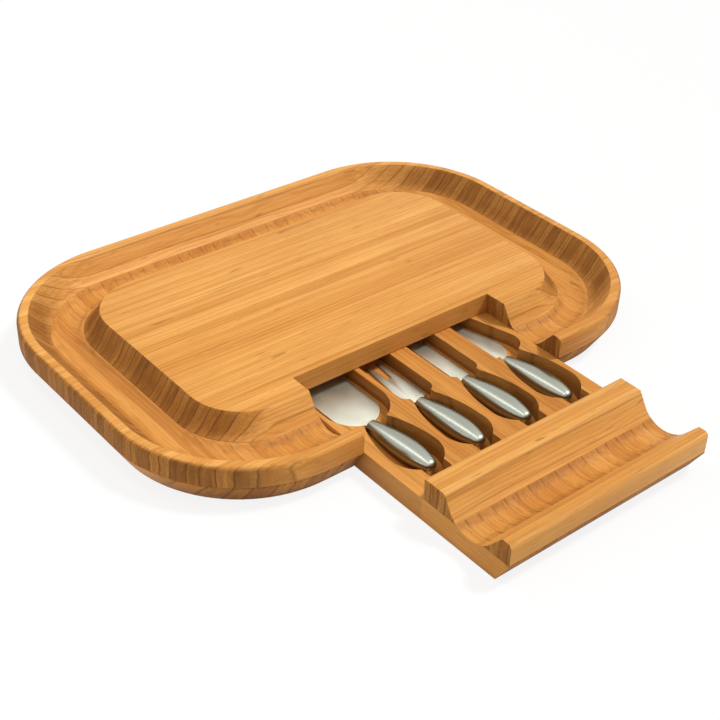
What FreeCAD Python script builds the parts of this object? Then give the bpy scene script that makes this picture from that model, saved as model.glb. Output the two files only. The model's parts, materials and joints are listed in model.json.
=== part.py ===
"""Cheese board with a slide-out drawer that holds four steel tools.

Lengths are in millimetres. X runs along the board, the drawer is pulled towards -Y, Z is up,
and the origin is the middle of the board's underside. The drawer stands open.
"""

import FreeCAD
import Part
import Sketcher
import math
import os
import sys

V = FreeCAD.Vector
TINY = 1e-4

# Flat facets that make a tool's handle: round it and along it
HANDLE_SIDES = 20
HANDLE_RINGS = 10

# Driving sizes, name and millimetres
SIZES = [
    # Board
    ("board_length", 425.0),
    ("board_width", 300.0),
    ("board_height", 33.0),
    ("lower_ply", 17.2),
    ("corner_radius", 98.0),
    ("top_round", 3.5),
    ("under_bevel_depth", 9.8),
    ("under_bevel_height", 16.5),
    # Moat round the island, insets counted from the board's outer wall
    ("rim_flat", 8.0),
    ("moat_width", 57.5),
    ("moat_floor_inset", 34.4),
    ("moat_floor_height", 14.0),
    ("moat_rim_radius", 22.6),
    ("moat_island_radius", 20.0),
    # Drawer
    ("front_depth", 75.3),
    ("drawer_width", 177.0),
    ("drawer_open", 131.0),
    ("spare_travel", 5.0),
    ("wood_behind_slot", 52.0),
    ("side_gap", 0.5),
    ("slide_gap", 0.3),
    ("closing_gap", 0.3),
    ("runner_length", 30.0),
    ("runner_height", 4.0),
    ("runner_proud", 3.0),
    ("runner_inlay", 3.0),
    ("runner_base", 6.6),
    ("runner_gap", 0.3),
    # Tools, lengths counted from the neck where the blade leaves the handle
    ("blade_thickness", 1.5),
    ("blade_length", 73.0),
    ("fork_length", 52.0),
    ("handle_length", 62.0),
    ("handle_width", 17.0),
    ("handle_height", 14.0),
    ("handle_widest", 38.0),
    ("handle_nose_radius", 75.0),
    ("handle_neck_height", 7.0),
    ("handle_rise", 3.8),
    ("tang_length", 22.0),
    ("tang_width", 5.0),
    ("tool_shift", 3.1),
    ("knife_shift", 1.6),
    ("tool_setback", 1.9),
    # Pockets in the drawer bed, distances counted back from the ridge
    ("neck_from_ridge", 83.7),
    ("channel_width", 18.7),
    ("channel_start", 8.0),
    ("channel_corner", 8.0),
    ("scoop_start", 21.7),
    ("scoop_widest", 42.0),
    ("scoop_end", 79.3),
    ("scoop_nose_half", 9.5),
    ("scoop_nose_radius", 22.0),
    ("scoop_side_radius", 88.0),
    ("blade_pocket_floor", 6.5),
    ("handle_gap", 0.3),
    ("recess_end_gap", 2.0),
    ("recess_corner", 4.0),
    # Spade
    ("spade_scoop", 38.4),
    ("spade_half", 18.6),
    ("spade_shoulder", 16.5),
    ("spade_shoulder_radius", 22.0),
    ("spade_end_radius", 3.0),
    ("spade_recess_half", 24.6),
    ("spade_recess_shoulder", 18.0),
    ("spade_recess_waist", 5.5),
    ("spade_recess_radius", 25.0),
    # Fork
    ("fork_scoop", 34.9),
    ("fork_half", 9.2),
    ("fork_shoulder", 8.5),
    ("fork_shoulder_radius", 6.5),
    ("fork_taper_start", 17.0),
    ("fork_gap_start", 32.0),
    ("fork_gap_root", 2.4),
    ("fork_point_place", 4.9),
    ("fork_point_width", 1.3),
    ("fork_recess_half", 14.2),
    ("fork_recess_shoulder", 6.5),
    ("fork_recess_waist", 1.2),
    ("fork_recess_radius", 7.5),
    # Chisel
    ("chisel_scoop", 34.9),
    ("chisel_half", 6.6),
    ("chisel_shoulder", 5.5),
    ("chisel_shoulder_radius", 7.0),
    ("chisel_end_radius", 1.5),
    ("chisel_recess_half", 13.3),
    ("chisel_recess_shoulder", 6.5),
    ("chisel_recess_waist", 1.2),
    ("chisel_recess_radius", 7.5),
    # Knife
    ("knife_scoop", 35.9),
    ("knife_back", 9.6),
    ("knife_belly", 10.6),
    ("knife_heel", 22.0),
    ("knife_heel_radius", 22.0),
    ("knife_edge_radius", 290.0),
    ("knife_recess_back", 12.6),
    ("knife_recess_belly", 17.6),
    ("knife_recess_heel", 15.0),
    ("knife_recess_waist", 1.2),
    ("knife_recess_radius", 13.0),
    ("blade_neck_half", 3.2),
]


class Size:
    """A length that knows both its number and the formula that it comes from."""

    def __init__(self, number, formula=None):
        self.number = float(number)
        self.formula = formula or repr(self.number)

    def __add__(self, other):
        other = as_size(other)
        return Size(self.number + other.number, f"({self.formula} + {other.formula})")

    def __sub__(self, other):
        other = as_size(other)
        return Size(self.number - other.number, f"({self.formula} - {other.formula})")

    def __mul__(self, other):
        other = as_size(other)
        return Size(self.number * other.number, f"({self.formula} * {other.formula})")

    def __truediv__(self, other):
        other = as_size(other)
        return Size(self.number / other.number, f"({self.formula} / {other.formula})")

    def __neg__(self):
        return Size(-self.number, f"(0 - {self.formula})")


def as_size(value):
    return value if isinstance(value, Size) else Size(value)


doc = FreeCAD.newDocument("cheese_board")
sheet = doc.addObject("Spreadsheet::Sheet", "Dims")
for row, (size_name, millimetres) in enumerate(SIZES, start=1):
    sheet.set(f"A{row}", size_name)
    sheet.set(f"B{row}", str(millimetres))
    sheet.setAlias(f"B{row}", size_name)
doc.recompute()


def dim(size_name):
    return Size(sheet.get(size_name), f"Dims.{size_name}")


ZERO = Size(0)

# Places that several pieces share
board_end = dim("board_length") / 2
board_side = dim("board_width") / 2
front_y = -board_side
top_z = dim("board_height")
joint_z = dim("lower_ply")
notch_half = dim("drawer_width") / 2 + dim("side_gap")
drawer_half = dim("drawer_width") / 2
notch_back_y = front_y + dim("front_depth")
ridge_back_y = notch_back_y - dim("closing_gap")
slot_end_y = board_side - dim("wood_behind_slot")
bed_end_y = slot_end_y - dim("closing_gap")
bed_top_z = joint_z - dim("slide_gap")
runner_start_y = bed_end_y - dim("runner_length")
runner_top_z = dim("runner_base") + dim("runner_height")
neck_y = notch_back_y + dim("neck_from_ridge")
tool_axis_z = dim("blade_pocket_floor") + dim("blade_thickness") / 2
tool_neck_y = neck_y + dim("tool_setback")
channel_floor_z = tool_axis_z + dim("handle_rise") / 2 - dim("handle_height") / 2 - dim("handle_gap")

# Where the tools lie across the drawer, as shares of its width
TOOL_PLACES = {
    "spade": -0.3435,
    "fork": -0.0989,
    "chisel": 0.1418,
    "knife": 0.3746,
}


def bind(feature, path, size):
    feature.setExpression(path, size.formula)


def new_body(name):
    body = doc.addObject("PartDesign::Body", name)
    body.Label = name
    return body


def new_sketch(body, name, role, offset=None):
    """An empty drawing on one of the body's own planes, raised along the plane's normal by the offset."""
    plane = [item for item in body.Origin.OriginFeatures if item.Role == role][0]
    sketch = body.newObject("Sketcher::SketchObject", f"{body.Name}_{name}")
    sketch.AttachmentSupport = [(plane, "")]
    sketch.MapMode = "FlatFace"
    if offset is not None:
        sketch.AttachmentOffset = FreeCAD.Placement(V(0, 0, offset.number), FreeCAD.Rotation())
        bind(sketch, ".AttachmentOffset.Base.z", offset)
    return sketch


def pin_point(sketch, geometry, end, x, y):
    """Ties one end of a drawn line or arc to a place."""
    for kind, size in (("DistanceX", x), ("DistanceY", y)):
        index = sketch.addConstraint(Sketcher.Constraint(kind, -1, 1, geometry, end, size.number))
        sketch.setExpression(f"Constraints[{index}]", size.formula)


def set_radius(sketch, geometry, size):
    index = sketch.addConstraint(Sketcher.Constraint("Radius", geometry, size.number))
    sketch.setExpression(f"Constraints[{index}]", size.formula)


def arc_between(start, end, radius, turn):
    """The shorter arc from start to end that bends left (turn 1) or right (turn -1)."""
    chord = end - start
    middle = (start + end) / 2
    reach = math.sqrt(max(radius ** 2 - (chord.Length / 2) ** 2, TINY))
    sideways = V(-chord.y, chord.x, 0).normalize() * turn
    centre = middle + sideways * reach
    first, last = (start, end) if turn > 0 else (end, start)
    angles = [math.atan2(point.y - centre.y, point.x - centre.x) for point in (first, last)]
    circle = Part.Circle(centre, V(0, 0, 1), radius)
    return Part.ArcOfCircle(circle, angles[0], angles[1])


def draw_outline(sketch, corners):
    """A closed outline through corners, each (x, y) or, where an arc arrives, (x, y, radius, turn)."""
    points = [V(corner[0].number, corner[1].number, 0) for corner in corners]
    ends = []
    for index, corner in enumerate(corners):
        start, end = points[index - 1], points[index]
        if len(corner) == 2:
            geometry = sketch.addGeometry(Part.LineSegment(start, end), False)
            ends.append((geometry, 1, 2))
            continue
        radius, turn = corner[2], corner[3]
        geometry = sketch.addGeometry(arc_between(start, end, radius.number, turn), False)
        set_radius(sketch, geometry, radius)
        ends.append((geometry, 1, 2) if turn > 0 else (geometry, 2, 1))
    for index, corner in enumerate(corners):
        geometry, first, last = ends[index]
        following, next_first, next_last = ends[(index + 1) % len(ends)]
        sketch.addConstraint(Sketcher.Constraint("Coincident", geometry, last, following, next_first))
        pin_point(sketch, geometry, last, corner[0], corner[1])


def rounded_rectangle(left, right, front, back, radius, split=False):
    """Corners of a rectangle with round corners, and with its front side in two halves if split."""
    corners = [
        (right - radius, front),
        (right, front + radius, radius, 1),
        (right, back - radius),
        (right - radius, back, radius, 1),
        (left + radius, back),
        (left, back - radius, radius, 1),
        (left, front + radius),
        (left + radius, front, radius, 1),
    ]
    if split:
        corners.append((ZERO, front))
    return corners


def rectangle(left, right, front, back):
    return [(right, front), (right, back), (left, back), (left, front)]


def extrude(body, kind, name, sketch, length, side="One side", reverse=False):
    """Adds the outline's depth of wood along its normal, or takes it off against the normal."""
    feature = body.newObject(f"PartDesign::{kind}", f"{body.Name}_{name}")
    feature.Profile = (sketch, [""])
    feature.SideType = side
    feature.Reversed = reverse
    feature.Length = length.number
    bind(feature, "Length", length)
    sketch.Visibility = False
    doc.recompute()
    return feature


def cut_away(body, name, sketch, length, side="One side", reverse=False):
    """Cuts the outline into the piece, and makes sure that some wood comes off."""
    before = body.Shape.Volume
    feature = extrude(body, "Pocket", name, sketch, length, side, reverse)
    if body.Shape.Volume > before - TINY:
        sys.exit(f"{feature.Name} takes nothing off")
    return feature


def named_edges(shape, wanted):
    return [f"Edge{index}" for index, edge in enumerate(shape.Edges, start=1) if wanted(edge)]


def inset_outline(inset, split=False):
    """The board's outline, drawn in by the inset."""
    radius = dim("corner_radius") - inset
    return rounded_rectangle(inset - board_end, board_end - inset, front_y + inset,
                             board_side - inset, radius, split)


def moat_section(body):
    """The moat's section, on the front side: a straight slope from the rim, two arcs that meet at
    the lowest point, and a straight slope up to the island."""
    sketch = new_sketch(body, "moat_section", "YZ_Plane")
    rim_edge = front_y + dim("rim_flat")
    island_edge = front_y + dim("moat_width")
    lowest = front_y + dim("moat_floor_inset")
    floor_z = dim("moat_floor_height")
    above = top_z + dim("top_round")
    low = V(lowest.number, floor_z.number, 0)
    sides = []
    for edge, radius, turn in ((rim_edge, dim("moat_rim_radius"), -1),
                               (island_edge, dim("moat_island_radius"), 1)):
        corner = V(edge.number, top_z.number, 0)
        centre = low + V(0, radius.number, 0)
        away = corner - centre
        lean = math.acos(radius.number / away.Length)
        touch = FreeCAD.Rotation(V(0, 0, 1), math.degrees(-turn * lean)).multVec(away)
        sides.append((corner, centre + touch.normalize() * radius.number))
    (rim, rim_touch), (island, island_touch) = sides
    island_up = V(island.x, above.number, 0)
    rim_up = V(rim.x, above.number, 0)
    slope_in = sketch.addGeometry(Part.LineSegment(rim, rim_touch), False)
    cove_in = sketch.addGeometry(arc_between(rim_touch, low, dim("moat_rim_radius").number, 1), False)
    cove_out = sketch.addGeometry(arc_between(low, island_touch, dim("moat_island_radius").number, 1), False)
    slope_out = sketch.addGeometry(Part.LineSegment(island_touch, island), False)
    up = sketch.addGeometry(Part.LineSegment(island, island_up), False)
    over = sketch.addGeometry(Part.LineSegment(island_up, rim_up), False)
    down = sketch.addGeometry(Part.LineSegment(rim_up, rim), False)
    for rule in (
        ("Tangent", slope_in, 2, cove_in, 1),
        ("Coincident", cove_in, 2, cove_out, 1),
        ("Tangent", cove_out, 2, slope_out, 1),
        ("Coincident", slope_out, 2, up, 1),
        ("Coincident", up, 2, over, 1),
        ("Coincident", over, 2, down, 1),
        ("Coincident", down, 2, slope_in, 1),
        ("Vertical", cove_in, 3, cove_in, 2),
        ("Vertical", cove_out, 3, cove_out, 1),
    ):
        sketch.addConstraint(Sketcher.Constraint(*rule))
    set_radius(sketch, cove_in, dim("moat_rim_radius"))
    set_radius(sketch, cove_out, dim("moat_island_radius"))
    pin_point(sketch, slope_in, 1, rim_edge, top_z)
    pin_point(sketch, cove_in, 2, lowest, floor_z)
    pin_point(sketch, up, 1, island_edge, top_z)
    pin_point(sketch, over, 1, island_edge, above)
    pin_point(sketch, over, 2, rim_edge, above)
    return sketch


def cut_moat_round(body):
    """The moat swept all round the board, along its outline."""
    path = new_sketch(body, "moat_path", "XY_Plane", top_z)
    draw_outline(path, inset_outline(dim("rim_flat"), split=True))
    section = moat_section(body)
    doc.recompute()
    before = body.Shape.Volume
    sweep = body.newObject("PartDesign::SubtractivePipe", f"{body.Name}_moat")
    sweep.Profile = (section, [""])
    sweep.Spine = (path, [f"Edge{index + 1}" for index in range(path.GeometryCount)])
    sweep.Mode = "Standard"
    doc.recompute()
    if body.Shape.Volume > before - TINY:
        sys.exit(f"{sweep.Name} takes nothing off")
    return sweep


def cut_moat_across(body):
    """The same section cut straight through a piece of the drawer's front."""
    return cut_away(body, "moat", moat_section(body), dim("drawer_width") * 2, "Symmetric")


def cut_notch(body, name="notch"):
    """The place of the drawer's front, cut through an upper piece of the board."""
    sketch = new_sketch(body, name, "XY_Plane", top_z)
    draw_outline(sketch, rectangle(-notch_half, notch_half, front_y - dim("rim_flat"), notch_back_y))
    return cut_away(body, name, sketch, top_z)


def is_top_outer(edge):
    """Whether an edge is part of the board's outer outline at the top."""
    box = edge.BoundBox
    reaches_end = max(abs(box.XMin), abs(box.XMax)) > board_end.number - TINY
    reaches_side = max(abs(box.YMin), abs(box.YMax)) > board_side.number - TINY
    return box.ZMin > top_z.number - TINY and (reaches_end or reaches_side)


def round_top(body, base):
    fillet = body.newObject("PartDesign::Fillet", f"{body.Name}_top_round")
    fillet.Base = (base, named_edges(base.Shape, is_top_outer))
    fillet.Radius = dim("top_round").number
    bind(fillet, "Radius", dim("top_round"))
    doc.recompute()
    return fillet


def make_base_ply():
    """Lower ply: bevelled underneath, with the slot for the drawer and the grooves that carry it."""
    body = new_body("base_ply")
    outline = new_sketch(body, "outline", "XY_Plane")
    draw_outline(outline, inset_outline(ZERO))
    pad = extrude(body, "Pad", "board", outline, joint_z)
    bevel = body.newObject("PartDesign::Chamfer", "base_ply_under_bevel")
    bevel.Base = (pad, named_edges(pad.Shape, lambda edge: edge.BoundBox.ZMax < TINY))
    bevel.ChamferType = "Two distances"
    bevel.Size = dim("under_bevel_height").number
    bevel.Size2 = dim("under_bevel_depth").number
    bind(bevel, "Size", dim("under_bevel_height"))
    bind(bevel, "Size2", dim("under_bevel_depth"))
    doc.recompute()
    foot = max(vertex.X for vertex in bevel.Shape.Vertexes if vertex.Z < TINY)
    if abs(foot - board_end.number + dim("under_bevel_depth").number) > TINY:
        bevel.FlipDirection = True
        doc.recompute()
    cut_moat_round(body)
    slot = new_sketch(body, "slot", "XY_Plane", joint_z)
    draw_outline(slot, rectangle(-notch_half, notch_half, front_y - dim("rim_flat"), slot_end_y))
    cut_away(body, "slot", slot, joint_z)
    groove_half = notch_half + dim("runner_proud") - dim("side_gap") + dim("runner_gap")
    groove_start = runner_start_y - dim("drawer_open") - dim("spare_travel") - dim("runner_gap")
    groove = new_sketch(body, "grooves", "XY_Plane", runner_top_z + dim("runner_gap"))
    draw_outline(groove, rectangle(-groove_half, groove_half, groove_start, slot_end_y))
    cut_away(body, "grooves", groove, dim("runner_height") + dim("runner_gap") * 2)
    return body


def make_rim_ply():
    """Upper ply outside the moat: the rim, open at the front for the drawer."""
    body = new_body("rim_ply")
    ring = new_sketch(body, "ring", "XY_Plane", joint_z)
    draw_outline(ring, inset_outline(ZERO))
    pad = extrude(body, "Pad", "ring", ring, top_z - joint_z)
    round_top(body, pad)
    middle = new_sketch(body, "middle", "XY_Plane", top_z)
    draw_outline(middle, inset_outline(dim("moat_floor_inset")))
    cut_away(body, "middle", middle, top_z)
    cut_moat_round(body)
    cut_notch(body)
    return body


def make_island_ply():
    """Upper ply inside the moat: the island to cut on, which also roofs the slot."""
    body = new_body("island_ply")
    outline = new_sketch(body, "outline", "XY_Plane", joint_z)
    draw_outline(outline, inset_outline(dim("moat_floor_inset")))
    extrude(body, "Pad", "island", outline, top_z - joint_z)
    cut_moat_round(body)
    cut_notch(body)
    return body


def make_drawer_bed():
    """Lower ply of the drawer: front with its share of the moat, and the bed with the pockets."""
    body = new_body("drawer_bed")
    underside_z = dim("slide_gap")
    slant = dim("under_bevel_depth") / dim("under_bevel_height")
    foot_y = front_y + (dim("under_bevel_height") - underside_z) * slant
    profile = new_sketch(body, "profile", "YZ_Plane")
    draw_outline(profile, [
        (front_y, dim("under_bevel_height")),
        (foot_y, underside_z),
        (bed_end_y, underside_z),
        (bed_end_y, bed_top_z),
        (ridge_back_y, bed_top_z),
        (ridge_back_y, joint_z),
        (front_y, joint_z),
    ])
    extrude(body, "Pad", "bed", profile, dim("drawer_width"), "Symmetric")
    cut_moat_across(body)
    inlay_half = drawer_half - dim("runner_inlay")
    for side, inner, outer in (("left", -inlay_half, -notch_half), ("right", inlay_half, notch_half)):
        inlay = new_sketch(body, f"inlay_{side}", "XY_Plane", runner_top_z)
        left, right = (outer, inner) if side == "left" else (inner, outer)
        draw_outline(inlay, rectangle(left, right, runner_start_y, slot_end_y))
        cut_away(body, f"inlay_{side}", inlay, dim("runner_height"))
    for tool in TOOLS:
        cut_pocket(body, tool)
    body.Placement = FreeCAD.Placement(V(0, -dim("drawer_open").number, 0), FreeCAD.Rotation())
    bind(body, ".Placement.Base.y", -dim("drawer_open"))
    return body


def cut_pocket(body, tool):
    """A tool's pocket: a shallow recess for the blade, a deep channel for the handle and a scoop on
    both sides of the handle for finger and thumb."""
    x = dim("drawer_width") * TOOL_PLACES[tool]
    ridge = notch_back_y
    half = dim("channel_width") / 2
    channel = new_sketch(body, f"{tool}_channel", "XY_Plane", bed_top_z)
    corner = dim("channel_corner")
    start = ridge + dim("channel_start")
    shoulder = tool_neck_y + dim("handle_gap")
    draw_outline(channel, [
        (x + half - corner, start),
        (x + half, start + corner, corner, 1),
        (x + half, shoulder),
        (x - half, shoulder),
        (x - half, start + corner),
        (x - half + corner, start, corner, 1),
    ])
    cut_away(body, f"{tool}_channel", channel, bed_top_z - channel_floor_z)
    scoop_half = dim(f"{tool}_scoop") / 2
    nose_half = dim("scoop_nose_half")
    nose = ridge + dim("scoop_start")
    widest = ridge + dim("scoop_widest")
    waist = ridge + dim("scoop_end")
    scoop = new_sketch(body, f"{tool}_scoop", "XY_Plane", bed_top_z)
    draw_outline(scoop, [
        (x + nose_half, nose),
        (x + scoop_half, widest, dim("scoop_nose_radius"), 1),
        (x + half, waist, dim("scoop_side_radius"), 1),
        (x - half, waist),
        (x - scoop_half, widest, dim("scoop_side_radius"), 1),
        (x - nose_half, nose, dim("scoop_nose_radius"), 1),
    ])
    cut_away(body, f"{tool}_scoop", scoop, bed_top_z - channel_floor_z)
    recess = new_sketch(body, f"{tool}_recess", "XY_Plane", bed_top_z)
    draw_outline(recess, RECESSES[tool](x, half))
    cut_away(body, f"{tool}_recess", recess, bed_top_z - dim("blade_pocket_floor"))


def even_recess(tool):
    """Outline of a recess that is the same on both sides of its tool."""
    def outline(x, channel_half):
        half = dim(f"{tool}_recess_half")
        corner = dim("recess_corner")
        end = tool_neck_y + dim("blade_length") + dim("recess_end_gap")
        shoulder = neck_y + dim(f"{tool}_recess_shoulder")
        waist = neck_y - dim(f"{tool}_recess_waist")
        radius = dim(f"{tool}_recess_radius")
        return [
            (x + channel_half, waist),
            (x + half, shoulder, radius, 1),
            (x + half, end - corner),
            (x + half - corner, end, corner, 1),
            (x - half + corner, end),
            (x - half, end - corner, corner, 1),
            (x - half, shoulder),
            (x - channel_half, waist, radius, 1),
        ]
    return outline


def knife_recess(x, channel_half):
    """Outline of the knife's recess: straight along the back, slanted along the edge."""
    end = tool_neck_y + dim("blade_length") + dim("recess_end_gap")
    back = x - dim("knife_recess_back")
    waist = neck_y - dim("knife_recess_waist")
    return [
        (x + channel_half, waist),
        (x + dim("knife_recess_belly"), neck_y + dim("knife_recess_heel"), dim("knife_recess_radius"), 1),
        (x, end),
        (back, end),
        (back, waist),
    ]


def blade_sides(half, shoulder, radius, corner):
    """Outline of a blade with two equal shoulders, without its tang."""
    neck_half = dim("blade_neck_half")
    end = dim("blade_length")
    lift = dim("blade_thickness")
    return [
        (neck_half, ZERO),
        (neck_half + lift, lift),
        (half, shoulder, radius, 1),
        (half, end - corner),
        (half - corner, end, corner, 1),
        (corner - half, end),
        (-half, end - corner, corner, 1),
        (-half, shoulder),
        (-neck_half - lift, lift, radius, 1),
        (-neck_half, ZERO),
    ]


def spade_blade():
    return blade_sides(dim("spade_half"), dim("spade_shoulder"), dim("spade_shoulder_radius"),
                       dim("spade_end_radius"))


def chisel_blade():
    return blade_sides(dim("chisel_half"), dim("chisel_shoulder"), dim("chisel_shoulder_radius"),
                       dim("chisel_end_radius"))


def fork_blade():
    """Outline of the fork: two pointed tines with a gap between them that widens to the points."""
    half = dim("fork_half")
    neck_half = dim("blade_neck_half")
    lift = dim("blade_thickness")
    end = dim("fork_length")
    root = dim("fork_gap_start")
    root_half = dim("fork_gap_root")
    shoulder = dim("fork_shoulder")
    radius = dim("fork_shoulder_radius")
    taper = dim("fork_taper_start")
    outside = dim("fork_point_place") + dim("fork_point_width") / 2
    inside = dim("fork_point_place") - dim("fork_point_width") / 2
    return [
        (neck_half, ZERO),
        (neck_half + lift, lift),
        (half, shoulder, radius, 1),
        (half, taper),
        (outside, end),
        (inside, end),
        (root_half, root + root_half),
        (ZERO, root, root_half, -1),
        (-root_half, root + root_half, root_half, -1),
        (-inside, end),
        (-outside, end),
        (-half, taper),
        (-half, shoulder),
        (-neck_half - lift, lift, radius, 1),
        (-neck_half, ZERO),
    ]


def knife_blade():
    """Outline of the knife: straight back, slightly bellied edge and a round heel."""
    back = dim("knife_back")
    neck_half = dim("blade_neck_half")
    lift = dim("blade_thickness")
    heel = dim("knife_heel")
    end = dim("blade_length")
    return [
        (neck_half, ZERO),
        (neck_half, lift * 2),
        (dim("knife_belly"), heel, dim("knife_heel_radius"), 1),
        (lift - back, end, dim("knife_edge_radius"), 1),
        (-back, end),
        (-back, dim("tang_width")),
        (-neck_half - lift, lift),
        (-neck_half, ZERO),
    ]


TOOLS = {
    "spade": spade_blade,
    "fork": fork_blade,
    "chisel": chisel_blade,
    "knife": knife_blade,
}
RECESSES = {
    "spade": even_recess("spade"),
    "fork": even_recess("fork"),
    "chisel": even_recess("chisel"),
    "knife": knife_recess,
}


def place_tool(item, tool):
    """Puts a piece of a tool, made with its neck at the origin, where the tool lies in the drawer."""
    x = dim("drawer_width") * TOOL_PLACES[tool]
    x = x + dim("knife_shift" if tool == "knife" else "tool_shift")
    y = tool_neck_y - dim("drawer_open")
    item.Placement = FreeCAD.Placement(V(x.number, y.number, tool_axis_z.number), FreeCAD.Rotation())
    bind(item, ".Placement.Base.x", x)
    bind(item, ".Placement.Base.y", y)
    bind(item, ".Placement.Base.z", tool_axis_z)


def make_blade(tool):
    """Flat steel blade with the tang that is fixed in the handle."""
    body = new_body(f"{tool}_blade")
    half_thick = dim("blade_thickness") / 2
    outline = new_sketch(body, "outline", "XY_Plane")
    draw_outline(outline, TOOLS[tool]())
    extrude(body, "Pad", "blade", outline, dim("blade_thickness"), "Symmetric")
    tang = new_sketch(body, "tang", "XY_Plane", -half_thick)
    tang_half = dim("tang_width") / 2
    draw_outline(tang, rectangle(-tang_half, tang_half, -dim("tang_length"), ZERO))
    extrude(body, "Pad", "tang", tang, dim("blade_thickness"))
    place_tool(body, tool)
    return body


def handle_half_height(distance):
    """Half the handle's height at a distance from the neck: an arc that swells from the neck to the
    widest place, a tighter arc towards the nose and a round end."""
    length = sheet.get("handle_length")
    widest = sheet.get("handle_widest")
    fullest = sheet.get("handle_height") / 2
    neck = sheet.get("handle_neck_height") / 2
    nose = sheet.get("handle_nose_radius")
    swell = (widest ** 2 + (fullest - neck) ** 2) / (2 * (fullest - neck))
    if distance <= widest:
        return fullest - swell + math.sqrt(swell ** 2 - (widest - distance) ** 2)
    run = length - widest
    end = (nose ** 2 - (nose - fullest) ** 2 - run ** 2) / (2 * (nose - run))
    bend = math.atan2(run - end, nose - fullest)
    if distance <= widest + nose * math.sin(bend):
        return fullest - nose + math.sqrt(nose ** 2 - (distance - widest) ** 2)
    return math.sqrt(max(end ** 2 - (distance - length + end) ** 2, 0))


def handle_ring(distance):
    """Corners of the handle's oval section at a distance from the neck."""
    half_height = handle_half_height(distance)
    half_width = half_height * sheet.get("handle_width") / sheet.get("handle_height")
    angles = [2 * math.pi * side / HANDLE_SIDES for side in range(HANDLE_SIDES)]
    return [V(half_width * math.cos(angle), -distance, half_height * math.sin(angle)) for angle in angles]


def make_drop():
    """The handle's oval drop, in flat facets between rings that lie closer towards the nose."""
    length = sheet.get("handle_length")
    spread = [math.sin(math.pi / 2 * ring / HANDLE_RINGS) for ring in range(HANDLE_RINGS)]
    rings = [handle_ring(length * share) for share in spread]
    nose_point = V(0, -length, 0)
    facets = [Part.Face(Part.makePolygon(rings[0] + rings[0][:1]))]
    for near, far in zip(rings, rings[1:]):
        for side in range(HANDLE_SIDES):
            corners = [near[side - 1], near[side], far[side], far[side - 1], near[side - 1]]
            facets.append(Part.Face(Part.makePolygon(corners)))
    for side in range(HANDLE_SIDES):
        corners = [rings[-1][side - 1], rings[-1][side], nose_point, rings[-1][side - 1]]
        facets.append(Part.Face(Part.makePolygon(corners)))
    return Part.Solid(Part.Shell(facets))


def make_handle(tool):
    """Solid steel handle that rises a little from the neck, slotted for the blade's tang."""
    width = sheet.get("handle_width")
    tang_width = sheet.get("tang_width")
    tang_length = sheet.get("tang_length")
    thickness = sheet.get("blade_thickness")
    drop = make_drop()
    lean = math.degrees(math.asin(sheet.get("handle_rise") / sheet.get("handle_length")))
    drop.rotate(V(0, 0, 0), V(1, 0, 0), -lean)
    beyond_neck = Part.makeBox(width, width, width, V(-width / 2, 0, -width / 2))
    tang_slot = Part.makeBox(tang_width, tang_length, thickness,
                             V(-tang_width / 2, -tang_length, -thickness / 2))
    handle = doc.addObject("Part::Feature", f"{tool}_handle")
    handle.Label = f"{tool}_handle"
    handle.Shape = drop.cut(beyond_neck).cut(tang_slot)
    place_tool(handle, tool)
    return handle


def make_drawer_top(name, start, end):
    """A piece of the drawer's upper ply: the lip in front of the moat or the ridge behind it."""
    body = new_body(name)
    outline = new_sketch(body, "outline", "XY_Plane", joint_z)
    draw_outline(outline, rectangle(-drawer_half, drawer_half, start, end))
    pad = extrude(body, "Pad", "block", outline, top_z - joint_z)
    if start is front_y:
        fillet = body.newObject("PartDesign::Fillet", f"{name}_top_round")
        fillet.Base = (pad, named_edges(pad.Shape, is_top_front))
        fillet.Radius = dim("top_round").number
        bind(fillet, "Radius", dim("top_round"))
        doc.recompute()
    cut_moat_across(body)
    body.Placement = FreeCAD.Placement(V(0, -dim("drawer_open").number, 0), FreeCAD.Rotation())
    bind(body, ".Placement.Base.y", -dim("drawer_open"))
    return body


def is_top_front(edge):
    """Whether an edge is the drawer's top front edge."""
    box = edge.BoundBox
    return box.ZMin > top_z.number - TINY and box.YMax < front_y.number + TINY


def make_runner(side, direction):
    """Bamboo strip let into the side of the bed, which slides in the board's groove."""
    runner = doc.addObject("Part::Box", f"drawer_runner_{side}")
    runner.Label = f"drawer_runner_{side}"
    inner = drawer_half - dim("runner_inlay")
    width = dim("runner_inlay") + dim("runner_proud")
    x = inner if direction > 0 else -inner - width
    y = runner_start_y - dim("drawer_open")
    bind(runner, "Length", width)
    bind(runner, "Width", dim("runner_length"))
    bind(runner, "Height", dim("runner_height"))
    runner.Placement = FreeCAD.Placement(V(x.number, y.number, dim("runner_base").number),
                                         FreeCAD.Rotation())
    bind(runner, ".Placement.Base.x", x)
    bind(runner, ".Placement.Base.y", y)
    bind(runner, ".Placement.Base.z", dim("runner_base"))
    return runner


pieces = [
    make_base_ply(),
    make_rim_ply(),
    make_island_ply(),
    make_drawer_bed(),
    make_drawer_top("drawer_lip", front_y, front_y + dim("moat_floor_inset")),
    make_drawer_top("drawer_ridge", front_y + dim("moat_floor_inset"), ridge_back_y),
    make_runner("left", -1),
    make_runner("right", 1),
]
for tool in TOOLS:
    pieces.append(make_blade(tool))
    pieces.append(make_handle(tool))
doc.recompute()

for item in doc.Objects:
    if {"Invalid", "Error"} & set(item.State):
        sys.exit(f"{item.Name} failed: {item.State}")
for piece in pieces:
    if piece.Shape.isNull() or not piece.Shape.isValid() or len(piece.Shape.Solids) != 1:
        sys.exit(f"{piece.Label} is not one valid solid")

os.makedirs("parts", exist_ok=True)
for piece in pieces:
    piece.Shape.exportStep(f"parts/{piece.Label}.step")
    print(f"{piece.Label}: {piece.Shape.Volume:.0f} mm3")
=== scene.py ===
"""Cheese board set: oiled bamboo board with a moat, a slide-out drawer and four steel tools."""

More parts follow.
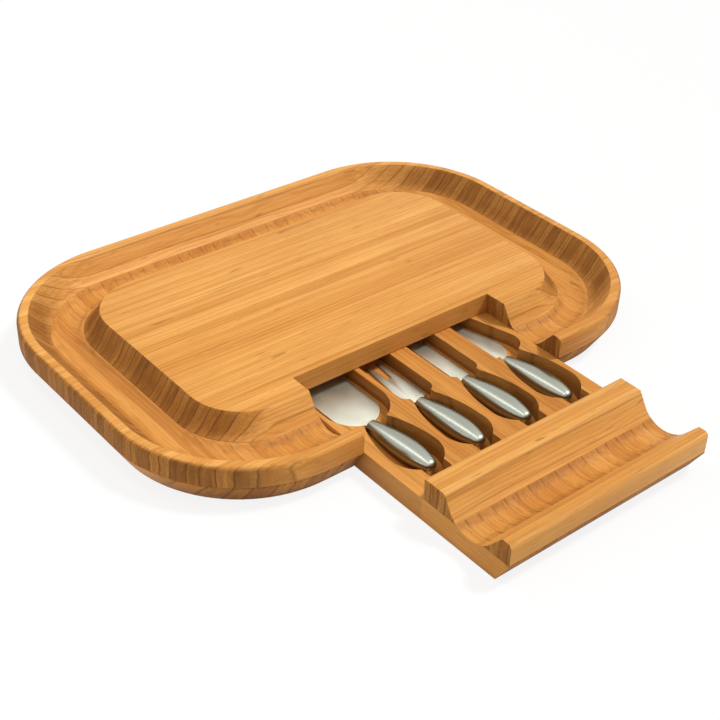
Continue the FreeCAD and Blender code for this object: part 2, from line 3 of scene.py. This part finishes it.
import bmesh
import bpy
import json
import math
from mathutils import Matrix, Vector


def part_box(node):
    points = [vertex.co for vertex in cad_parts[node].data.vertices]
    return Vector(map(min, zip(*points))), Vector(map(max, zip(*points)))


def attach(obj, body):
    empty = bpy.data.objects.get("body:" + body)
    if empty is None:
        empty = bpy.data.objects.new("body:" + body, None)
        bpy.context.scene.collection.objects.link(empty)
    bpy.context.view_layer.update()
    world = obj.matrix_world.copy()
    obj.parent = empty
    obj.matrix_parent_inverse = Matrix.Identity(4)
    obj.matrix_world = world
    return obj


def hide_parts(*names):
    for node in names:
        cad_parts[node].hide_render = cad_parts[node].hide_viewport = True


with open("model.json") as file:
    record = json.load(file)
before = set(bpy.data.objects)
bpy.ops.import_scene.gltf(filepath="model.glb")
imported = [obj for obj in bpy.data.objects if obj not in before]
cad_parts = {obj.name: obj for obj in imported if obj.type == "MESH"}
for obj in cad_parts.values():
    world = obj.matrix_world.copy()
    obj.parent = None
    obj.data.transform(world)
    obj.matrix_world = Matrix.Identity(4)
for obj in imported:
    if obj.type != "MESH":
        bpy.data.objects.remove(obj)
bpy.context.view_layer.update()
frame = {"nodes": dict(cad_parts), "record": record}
nodes = frame["nodes"]

MM = 0.001

# Camera, fitted to the photograph
CAMERA_PLACE = Vector((-535.0, -659.8, 560.9)) * MM
CAMERA_HEADING = math.radians(40.74)
CAMERA_DIP = math.radians(34.85)
CAMERA_ROLL = math.radians(2.51)
CAMERA_LENS = 68.1
CAMERA_SENSOR = 36.0

# Light
SKY_LEVEL = 0.33
SKY_TINT = (1.0, 0.955, 0.86)
KEY_LEVEL = 2.42
KEY_FROM = Vector((0.55, -0.24, 1.0))
KEY_SPREAD = math.radians(12)
WHITE = (1.0, 1.0, 1.0)

# Long softboxes along Y, which draw the bright bands on the handles: middle, width, length, power
SOFTBOXES = {
    "overhead": (Vector((-0.30, 0.45, 1.05)), 0.28, 2.2, 5.2),
    "left": (Vector((-1.15, 0.60, 0.34)), 0.14, 2.2, 2.6),
}

# Floor: half its width, its depth under the board, its grey, and how much of it is plain white
FLOOR_REACH = 4.0
FLOOR_DROP = 0.2 * MM
FLOOR_GREY = (0.86, 0.86, 0.86)
FLOOR_WHITENESS = 0.86

# Handle's drop, along Y from the neck, as the CAD has it
HANDLE_LENGTH = 62.0 * MM
HANDLE_WIDTH = 17.0 * MM
HANDLE_HEIGHT = 14.0 * MM
HANDLE_WIDEST = 38.0 * MM
HANDLE_NOSE = 75.0 * MM
HANDLE_NECK = 7.0 * MM
HANDLE_RISE = 3.8 * MM
HANDLE_RINGS = 56
HANDLE_SIDES = 64

# Edges: how far sanding and grinding round them, and the angles that tell an edge from a curve
WOOD_EDGE = 0.45 * MM
STEEL_EDGE = 0.25 * MM
FLAT_UNDER = math.radians(0.2)
EDGE_OVER = math.radians(30)
CREASE_OVER = math.radians(32)
SAME_POINT = 0.002 * MM

# Bamboo strips: their widths, how uneven they are, and how far their joints stray
UPPER_STRIP = 7.5 * MM
LOWER_STRIP = 11.5 * MM
STRIP_UNEVENNESS = 0.55
STRIP_WANDER = 4.0 * MM
STRIP_SWAY = 2.4 * MM

# Growth rings: the waves' turns in radians along a metre, and how far they bend
RING_TURNS = 1900.0
RING_BEND = 12.0 * MM

# Surface: the wood's shine, and the depth of the grain in wood and steel
WOOD_SHINE = 0.14
WOOD_RELIEF = 0.15 * MM
STEEL_RELIEF = 0.04 * MM

# The part of the drawer's bed that holds the pockets, whose walls get painted shade
POCKETS_HALF_WIDTH = 87.0 * MM
POCKETS_FRONT = -205.0 * MM
POCKETS_BACK = 30.0 * MM

# Colours of the upper ply, from its darkest honey to its end grain
HONEY = {
    "dark": (0.549, 0.221, 0.042),
    "middle": (0.657, 0.294, 0.065),
    "light": (0.735, 0.355, 0.090),
    "pale": (0.818, 0.438, 0.134),
    "fibre": (0.363, 0.134, 0.023),
    "glue_and_shade": (0.157, 0.052, 0.011),
    "end_dark": (0.149, 0.048, 0.007),
    "end_middle": (0.311, 0.119, 0.019),
    "end_pale": (0.538, 0.252, 0.059),
}

# Colours of the lower ply, a shade deeper
AMBER = {
    "dark": (0.456, 0.167, 0.028),
    "middle": (0.560, 0.230, 0.045),
    "light": (0.632, 0.281, 0.062),
    "pale": (0.708, 0.345, 0.093),
    "fibre": (0.304, 0.103, 0.017),
    # This glue brown also paints the shade on the pockets' walls
    "glue_and_shade": (0.142, 0.045, 0.009),
    "end_dark": (0.188, 0.066, 0.012),
    "end_middle": (0.340, 0.137, 0.024),
    "end_pale": (0.530, 0.245, 0.060),
}


class Graph:
    """Short words for building the nodes of a material or of the sky."""

    def __init__(self, owner, output):
        owner.use_nodes = True
        self.owner = owner
        self.tree = owner.node_tree
        self.tree.nodes.clear()
        self.output = self.tree.nodes.new(output)

    def put(self, socket, value):
        """Links a socket, or sets it to a number or a colour."""
        if isinstance(value, bpy.types.NodeSocket):
            self.tree.links.new(value, socket)
        else:
            socket.default_value = (*value, 1) if isinstance(value, tuple) else value

    def math(self, operation, first, second=0.0):
        node = self.tree.nodes.new("ShaderNodeMath")
        node.operation = operation
        for socket, value in zip(node.inputs, (first, second)):
            self.put(socket, value)
        return node.outputs[0]

    def add(self, first, *others):
        for other in others:
            first = self.math("ADD", first, other)
        return first

    def times(self, first, *others):
        for other in others:
            first = self.math("MULTIPLY", first, other)
        return first

    def coordinates(self, kind):
        """Object coordinates, or the surface's direction in the object's own frame, split."""
        node = self.tree.nodes.new("ShaderNodeTexCoord")
        split = self.tree.nodes.new("ShaderNodeSeparateXYZ")
        self.put(split.inputs[0], node.outputs[kind])
        return split.outputs

    def stretch(self, *axes):
        """A place in a pattern: each coordinate, with the pattern's steps along it in a metre."""
        node = self.tree.nodes.new("ShaderNodeCombineXYZ")
        for socket, (place, steps) in zip(node.inputs, axes):
            self.put(socket, self.times(place, steps))
        return node.outputs[0]

    def noise(self, vector, detail, roughness=0.55):
        node = self.tree.nodes.new("ShaderNodeTexNoise")
        for word, value in (("Vector", vector), ("Scale", 1.0),
                            ("Detail", detail), ("Roughness", roughness)):
            self.put(node.inputs[word], value)
        return node.outputs[0]

    def drift(self, vector, amount):
        """Soft noise from minus half to plus half the amount."""
        return self.times(self.math("SUBTRACT", self.noise(vector, 1.0), 0.5), amount)

    def ramp(self, value, stops):
        """Passes through the stops, each a position with its grey level or colour."""
        node = self.tree.nodes.new("ShaderNodeValToRGB")
        elements = node.color_ramp.elements
        while len(elements) < len(stops):
            elements.new(0.5)
        for element, (place, colour) in zip(elements, stops):
            element.position = place
            if not isinstance(colour, tuple):
                colour = (colour, colour, colour)
            element.color = (*colour, 1)
        self.put(node.inputs[0], value)
        return node.outputs[0]

    def fade(self, value, nothing, full):
        """Goes from 0 where the value is at nothing to 1 where it is at full."""
        return self.ramp(value, sorted([(nothing, 0.0), (full, 1.0)]))

    def mix(self, factor, first, second):
        node = self.tree.nodes.new("ShaderNodeMix")
        node.data_type = "RGBA"
        sockets = (node.inputs[0], node.inputs[6], node.inputs[7])
        for socket, value in zip(sockets, (factor, first, second)):
            self.put(socket, value)
        return node.outputs[2]

    def bump(self, height, strength, distance):
        node = self.tree.nodes.new("ShaderNodeBump")
        for word, value in (("Strength", strength), ("Distance", distance), ("Height", height)):
            self.put(node.inputs[word], value)
        return node.outputs[0]

    def shader(self, kind, **values):
        """A shader with its values on its own sockets."""
        node = self.tree.nodes.new("ShaderNode" + kind)
        for word, value in values.items():
            self.put(node.inputs[word.replace("_", " ")], value)
        return node.outputs[0]

    def blend(self, factor, first, second):
        """One shader fading into another."""
        node = self.tree.nodes.new("ShaderNodeMixShader")
        for socket, value in zip(node.inputs, (factor, first, second)):
            self.put(socket, value)
        return node.outputs[0]

    def seen(self):
        """1 where the camera or a reflection looks, 0 where light only bounces."""
        rays = self.tree.nodes.new("ShaderNodeLightPath").outputs
        mirrored = self.math("MAXIMUM", rays["Is Glossy Ray"], rays["Is Transmission Ray"])
        return self.math("MAXIMUM", rays["Is Camera Ray"], mirrored)

    def done(self, shader):
        self.put(self.output.inputs[0], shader)
        return self.owner


def start_material(name):
    return Graph(bpy.data.materials.new(name), "ShaderNodeOutputMaterial")


def strip_pattern(g, across, width):
    """Glued strips: three random numbers for each strip, and the distance to its joint."""
    outputs = []
    for feature in ("F1", "DISTANCE_TO_EDGE"):
        strips = g.tree.nodes.new("ShaderNodeTexVoronoi")
        strips.voronoi_dimensions = "1D"
        strips.feature = feature
        strips.inputs["Scale"].default_value = 1.0
        strips.inputs["Randomness"].default_value = STRIP_UNEVENNESS
        g.put(strips.inputs["W"], g.times(across, 1.0 / width))
        outputs.append(strips.outputs)
    split = g.tree.nodes.new("ShaderNodeSeparateColor")
    g.put(split.inputs[0], outputs[0]["Color"])
    return (*split.outputs, outputs[1]["Distance"])


def bamboo(name, along_x, strip_width, tone):
    """Laminated bamboo, solid all through, with its strips along X or along Y."""
    g = start_material(name)
    place = g.coordinates("Object")
    facing = g.coordinates("Normal")
    along, across = (place[0], place[1]) if along_x else (place[1], place[0])
    up = place[2]
    level = g.math("ABSOLUTE", facing[2])
    wall = g.fade(level, 0.85, 0.55)
    end_on = g.fade(g.math("ABSOLUTE", facing[0] if along_x else facing[1]), 0.22, 0.62)

    # The strips wander a little, and every strip has its own start
    wander = g.drift(g.stretch((along, 6.0), (across, 6.0)), STRIP_WANDER)
    sway = g.drift(g.stretch((up, 90.0), (across, 60.0)), STRIP_SWAY)
    tint, shade, start, edge = strip_pattern(g, g.add(across, wander, sway), strip_width)
    joint = g.fade(edge, 0.075, 0.02)
    shifted = g.add(along, g.times(start, 7.0))

    # Grain: broad bands, long thin streaks, hair-fine fibres, and short dark vessels
    bands = g.noise(g.stretch((shifted, 2.5), (across, 75.0), (up, 75.0)), 2.0)
    streaks = g.noise(g.stretch((shifted, 7.0), (across, 520.0), (up, 400.0)), 3.0, 0.6)
    lines = g.noise(g.stretch((shifted, 4.0), (across, 260.0), (up, 200.0)), 1.0)
    fibres = g.noise(g.stretch((shifted, 34.0), (across, 1900.0), (up, 1900.0)), 2.0)
    vessels = g.noise(g.stretch((shifted, 70.0), (across, 700.0), (up, 700.0)), 1.0)
    flecks = g.noise(g.stretch((shifted, 30.0), (across, 170.0), (up, 170.0)), 2.0, 0.6)
    clouds = g.noise(g.stretch((along, 12.0), (across, 12.0), (up, 12.0)), 2.0)
    colour = g.ramp(g.add(g.times(tint, 0.20), g.times(streaks, 0.56), g.times(bands, 0.24)), [
        (0.30, tone["dark"]),
        (0.44, tone["middle"]),
        (0.56, tone["light"]),
        (0.72, tone["pale"]),
    ])
    for pattern, nothing, full, strength, shadow in (
            (clouds, 0.40, 0.66, 0.22, "dark"),
            (lines, 0.60, 0.72, 0.34, "fibre"),
            (fibres, 0.48, 0.32, 0.30, "fibre"),
            (vessels, 0.33, 0.24, 0.50, "fibre"),
            (flecks, 0.69, 0.78, 0.50, "glue_and_shade")):
        colour = g.mix(g.times(g.fade(pattern, nothing, full), strength), colour, tone[shadow])

    # Growth rings: contours where a curved cut slopes through a strip
    bend = g.noise(g.stretch((shifted, 14.0), (across, 30.0), (up, 30.0)), 2.0, 0.5)
    lean = g.times(g.math("SUBTRACT", tint, 0.5), 1.2)
    ring_place = g.add(up, g.times(across, lean), g.times(bend, RING_BEND))
    rings = g.math("SINE", g.add(g.times(ring_place, RING_TURNS), g.times(shade, 20.0)))
    slope = g.ramp(level, [(0.05, 0.25), (0.5, 1.0), (0.97, 1.0), (0.998, 0.0)])
    colour = g.mix(g.times(g.fade(rings, 0.45, 0.95), slope, 0.24), colour, tone["fibre"])

    # End grain: tan to dark brown blocks, one to a strip, lined and pricked with the fibres' ends
    pores = g.noise(g.stretch((along, 900.0), (across, 900.0), (up, 900.0)), 2.0)
    pile = g.noise(g.stretch((along, 25.0), (g.add(across, sway), 420.0), (up, 45.0)), 3.0, 0.6)
    end_colour = g.ramp(g.add(g.times(shade, 0.30), g.times(pile, 0.72)), [
        (0.26, tone["end_dark"]),
        (0.50, tone["end_middle"]),
        (0.82, tone["end_pale"]),
    ])
    end_colour = g.mix(g.times(g.fade(pores, 0.50, 0.36), 0.42), end_colour, tone["end_dark"])
    colour = g.mix(g.times(end_on, 0.90), colour, end_colour)

    if not along_x:
        # Painted shade: the pockets' milled walls are mixed halfway to the dark glue brown,
        # standing in for the shade deep inside the pockets
        beside = g.fade(g.math("ABSOLUTE", place[0]), POCKETS_HALF_WIDTH + 0.5 * MM,
                        POCKETS_HALF_WIDTH - 0.5 * MM)
        behind = g.math("GREATER_THAN", place[1], POCKETS_FRONT)
        before = g.math("LESS_THAN", place[1], POCKETS_BACK)
        colour = g.mix(g.times(beside, behind, before, wall, 0.50), colour, tone["glue_and_shade"])

    # Glue joints, which show most on the end grain
    on_walls = g.math("MAXIMUM", end_on, g.times(wall, 0.3))
    joint_depth = g.add(g.times(on_walls, 0.66), 0.20)
    colour = g.mix(g.times(joint, joint_depth), colour, tone["glue_and_shade"])

    rough = g.add(g.times(streaks, 0.18), g.times(end_on, 0.14), 0.42)
    height = g.add(g.times(fibres, 0.5), g.times(vessels, 0.5), g.times(joint, -0.3))
    return g.done(g.shader("BsdfPrincipled", Base_Color=colour, Roughness=rough,
                           Specular_IOR_Level=WOOD_SHINE, Normal=g.bump(height, 0.35, WOOD_RELIEF)))


def steel(name, colour, roughness, grain_along, grain_depth, smudge):
    """Steel ground along its length, with faint smudges."""
    g = start_material(name)
    x, y, z = g.coordinates("Object")
    grain = g.noise(g.stretch((x, 2400.0), (y, grain_along), (z, 2400.0)), 2.0)
    cloud = g.noise(g.stretch((x, 55.0), (y, 55.0), (z, 55.0)), 3.0)
    dull = tuple(level * (1.0 - smudge) for level in colour)
    tone = g.mix(g.fade(g.add(g.times(grain, 0.5), g.times(cloud, 0.5)), 0.35, 0.65), dull, colour)
    rough = g.add(g.times(g.add(grain, cloud), smudge), roughness - smudge)
    return g.done(g.shader("BsdfPrincipled", Base_Color=tone, Metallic=1.0, Roughness=rough,
                           Normal=g.bump(grain, grain_depth, STEEL_RELIEF)))


lower_bamboo = bamboo("lower_bamboo", False, LOWER_STRIP, AMBER)
FINISH = {
    "upper_bamboo": bamboo("upper_bamboo", True, UPPER_STRIP, HONEY),
    "lower_bamboo": lower_bamboo,
    "runner_bamboo": lower_bamboo,
    "blade_steel": steel("blade_steel", (0.63, 0.62, 0.51), roughness=0.48,
                         grain_along=90.0, grain_depth=0.08, smudge=0.12),
    "handle_steel": steel("handle_steel", (0.38, 0.395, 0.33), roughness=0.31,
                          grain_along=12.0, grain_depth=0.0, smudge=0.03),
}
SLOT = {part["node"]: part["material_slot"] for part in frame["record"]["subparts"]}
BODY_OF = {node: body
           for body, members in frame["record"]["behaviour"]["bodies"].items()
           for node in members}

for node, slot in SLOT.items():
    mesh = nodes[node].data
    mesh.materials.clear()
    mesh.materials.append(FINISH[slot])


def place_mesh(name, shape):
    """Puts a finished shape into the scene as an object of its own."""
    mesh = bpy.data.meshes.new(name)
    shape.to_mesh(mesh)
    shape.free()
    piece = bpy.data.objects.new(name, mesh)
    bpy.context.scene.collection.objects.link(piece)
    return piece


def dress(name, shape, node):
    """Makes the finished piece that stands for a CAD node: same body, same finish, smooth faces."""
    bmesh.ops.recalc_face_normals(shape, faces=shape.faces)
    for face in shape.faces:
        face.smooth = True
    piece = place_mesh(name, shape)
    piece.data.set_sharp_from_angle(angle=CREASE_OVER)
    piece.data.materials.append(FINISH[SLOT[node]])
    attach(piece, BODY_OF[node])
    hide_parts(node)


def ease_edges(node, radius):
    """The node's own shape with its sharp outer edges rounded a little, as sanding leaves them."""
    shape = bmesh.new()
    shape.from_mesh(nodes[node].data)
    bmesh.ops.remove_doubles(shape, verts=shape.verts, dist=SAME_POINT)
    bmesh.ops.dissolve_limit(shape, angle_limit=FLAT_UNDER, verts=shape.verts, edges=shape.edges)
    sharp = [edge for edge in shape.edges
             if len(edge.link_faces) == 2 and edge.calc_face_angle_signed(0.0) > EDGE_OVER]
    bmesh.ops.bevel(shape, geom=sharp, affect="EDGES", offset=radius, offset_type="OFFSET",
                    segments=2, profile=0.5, material=-1, clamp_overlap=True)
    dress(node + "_sanded", shape, node)


def handle_half_height(distance):
    """Half the drop's height at a distance from the neck: a swell, a long arc and a round nose."""
    fullest, neck = HANDLE_HEIGHT / 2, HANDLE_NECK / 2
    swell = (HANDLE_WIDEST ** 2 + (fullest - neck) ** 2) / (2 * (fullest - neck))
    if distance <= HANDLE_WIDEST:
        return fullest - swell + math.sqrt(swell ** 2 - (HANDLE_WIDEST - distance) ** 2)
    run = HANDLE_LENGTH - HANDLE_WIDEST
    end = (HANDLE_NOSE ** 2 - (HANDLE_NOSE - fullest) ** 2 - run ** 2) / (2 * (HANDLE_NOSE - run))
    bend = math.atan2(run - end, HANDLE_NOSE - fullest)
    if distance <= HANDLE_WIDEST + HANDLE_NOSE * math.sin(bend):
        return fullest - HANDLE_NOSE + math.sqrt(HANDLE_NOSE ** 2 - (distance - HANDLE_WIDEST) ** 2)
    return math.sqrt(max(end ** 2 - (distance - HANDLE_LENGTH + end) ** 2, 0))


def make_handle(tool):
    """Polished drop, turned round its axis, flattened to an oval and tipped up towards its nose."""
    low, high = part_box(tool + "_handle")
    axis_x = (low[0] + high[0]) / 2
    neck_y = high[1]
    blade_low, blade_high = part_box(tool + "_blade")
    axis_z = (blade_low[2] + blade_high[2]) / 2
    shape = bmesh.new()
    chain = [shape.verts.new((0, 0, 0))]
    for ring in range(HANDLE_RINGS):
        distance = HANDLE_LENGTH * math.sin(math.pi / 2 * ring / HANDLE_RINGS)
        chain.append(shape.verts.new((handle_half_height(distance), -distance, 0)))
    chain.append(shape.verts.new((0, -HANDLE_LENGTH, 0)))
    edges = [shape.edges.new(pair) for pair in zip(chain, chain[1:])]
    bmesh.ops.spin(shape, geom=chain + edges, cent=(0, 0, 0), axis=(0, 1, 0), dvec=(0, 0, 0),
                   angle=2 * math.pi, steps=HANDLE_SIDES, use_merge=True)
    bmesh.ops.remove_doubles(shape, verts=shape.verts, dist=SAME_POINT / 2)
    bmesh.ops.scale(shape, vec=(HANDLE_WIDTH / HANDLE_HEIGHT, 1, 1), verts=shape.verts)
    tip_up = Matrix.Rotation(-math.asin(HANDLE_RISE / HANDLE_LENGTH), 3, "X")
    bmesh.ops.rotate(shape, cent=(0, 0, 0), matrix=tip_up, verts=shape.verts)
    bmesh.ops.translate(shape, vec=(axis_x, neck_y, axis_z), verts=shape.verts)
    dress(tool + "_handle_polished", shape, tool + "_handle")


def make_floor():
    """Pale floor, white to the camera except for the board's own shadow."""
    shape = bmesh.new()
    bmesh.ops.create_grid(shape, x_segments=1, y_segments=1, size=FLOOR_REACH)
    floor = place_mesh("floor", shape)
    floor.location.z = -FLOOR_DROP
    g = start_material("floor_white")
    matte = g.shader("BsdfDiffuse", Color=FLOOR_GREY)
    glow = g.shader("Emission", Color=WHITE)
    floor.data.materials.append(g.done(g.blend(g.times(g.seen(), FLOOR_WHITENESS), matte, glow)))


def make_sky():
    """Even soft light all round, white where it is seen."""
    g = Graph(bpy.data.worlds.new("sky"), "ShaderNodeOutputWorld")
    light = g.shader("Background", Color=SKY_TINT, Strength=SKY_LEVEL)
    white = g.shader("Background", Color=WHITE, Strength=1.0)
    bpy.context.scene.world = g.done(g.blend(g.seen(), light, white))


def make_key(name, level, direction, spread):
    """Far lamp that shines evenly from a direction, seen from the object as a disc this wide."""
    light = bpy.data.lights.new(name, "SUN")
    light.energy = level
    light.angle = spread
    lamp = bpy.data.objects.new(name, light)
    lamp.rotation_euler = direction.to_track_quat("Z", "Y").to_euler()
    bpy.context.scene.collection.objects.link(lamp)


def make_softbox(name, middle, width, length, power):
    """Long soft lamp along Y that faces the board."""
    light = bpy.data.lights.new(name, "AREA")
    light.shape = "RECTANGLE"
    light.size = width
    light.size_y = length
    light.energy = power
    lamp = bpy.data.objects.new(name, light)
    towards_lamp = Vector((middle.x, 0, middle.z)).normalized()
    along = Vector((0, 1, 0))
    sideways = along.cross(towards_lamp)
    turn = Matrix((sideways, along, towards_lamp)).transposed().to_4x4()
    lamp.matrix_world = Matrix.Translation(middle) @ turn
    lamp.visible_camera = False
    bpy.context.scene.collection.objects.link(lamp)


def make_camera():
    """Camera where the photograph was taken from, looking down along its heading."""
    ahead = Vector((math.sin(CAMERA_HEADING) * math.cos(CAMERA_DIP),
                    math.cos(CAMERA_HEADING) * math.cos(CAMERA_DIP),
                    -math.sin(CAMERA_DIP)))
    level = Vector((math.cos(CAMERA_HEADING), -math.sin(CAMERA_HEADING), 0))
    above = level.cross(ahead)
    right = level * math.cos(CAMERA_ROLL) + above * math.sin(CAMERA_ROLL)
    top = above * math.cos(CAMERA_ROLL) - level * math.sin(CAMERA_ROLL)
    turn = Matrix((right, top, -ahead)).transposed().to_4x4()
    lens = bpy.data.cameras.new("camera")
    lens.lens = CAMERA_LENS
    lens.sensor_width = CAMERA_SENSOR
    camera = bpy.data.objects.new("camera", lens)
    camera.matrix_world = Matrix.Translation(CAMERA_PLACE) @ turn
    bpy.context.scene.collection.objects.link(camera)
    bpy.context.scene.camera = camera


for node in ("base_ply", "rim_ply", "island_ply", "drawer_bed", "drawer_lip", "drawer_ridge"):
    ease_edges(node, WOOD_EDGE)
for tool in ("spade", "fork", "chisel", "knife"):
    ease_edges(tool + "_blade", STEEL_EDGE)
    make_handle(tool)

make_floor()
make_sky()
make_key("key", KEY_LEVEL, KEY_FROM, KEY_SPREAD)
for name, (middle, width, length, power) in SOFTBOXES.items():
    make_softbox(name, middle, width, length, power)
make_camera()
bpy.context.scene.view_settings.view_transform = "Standard"
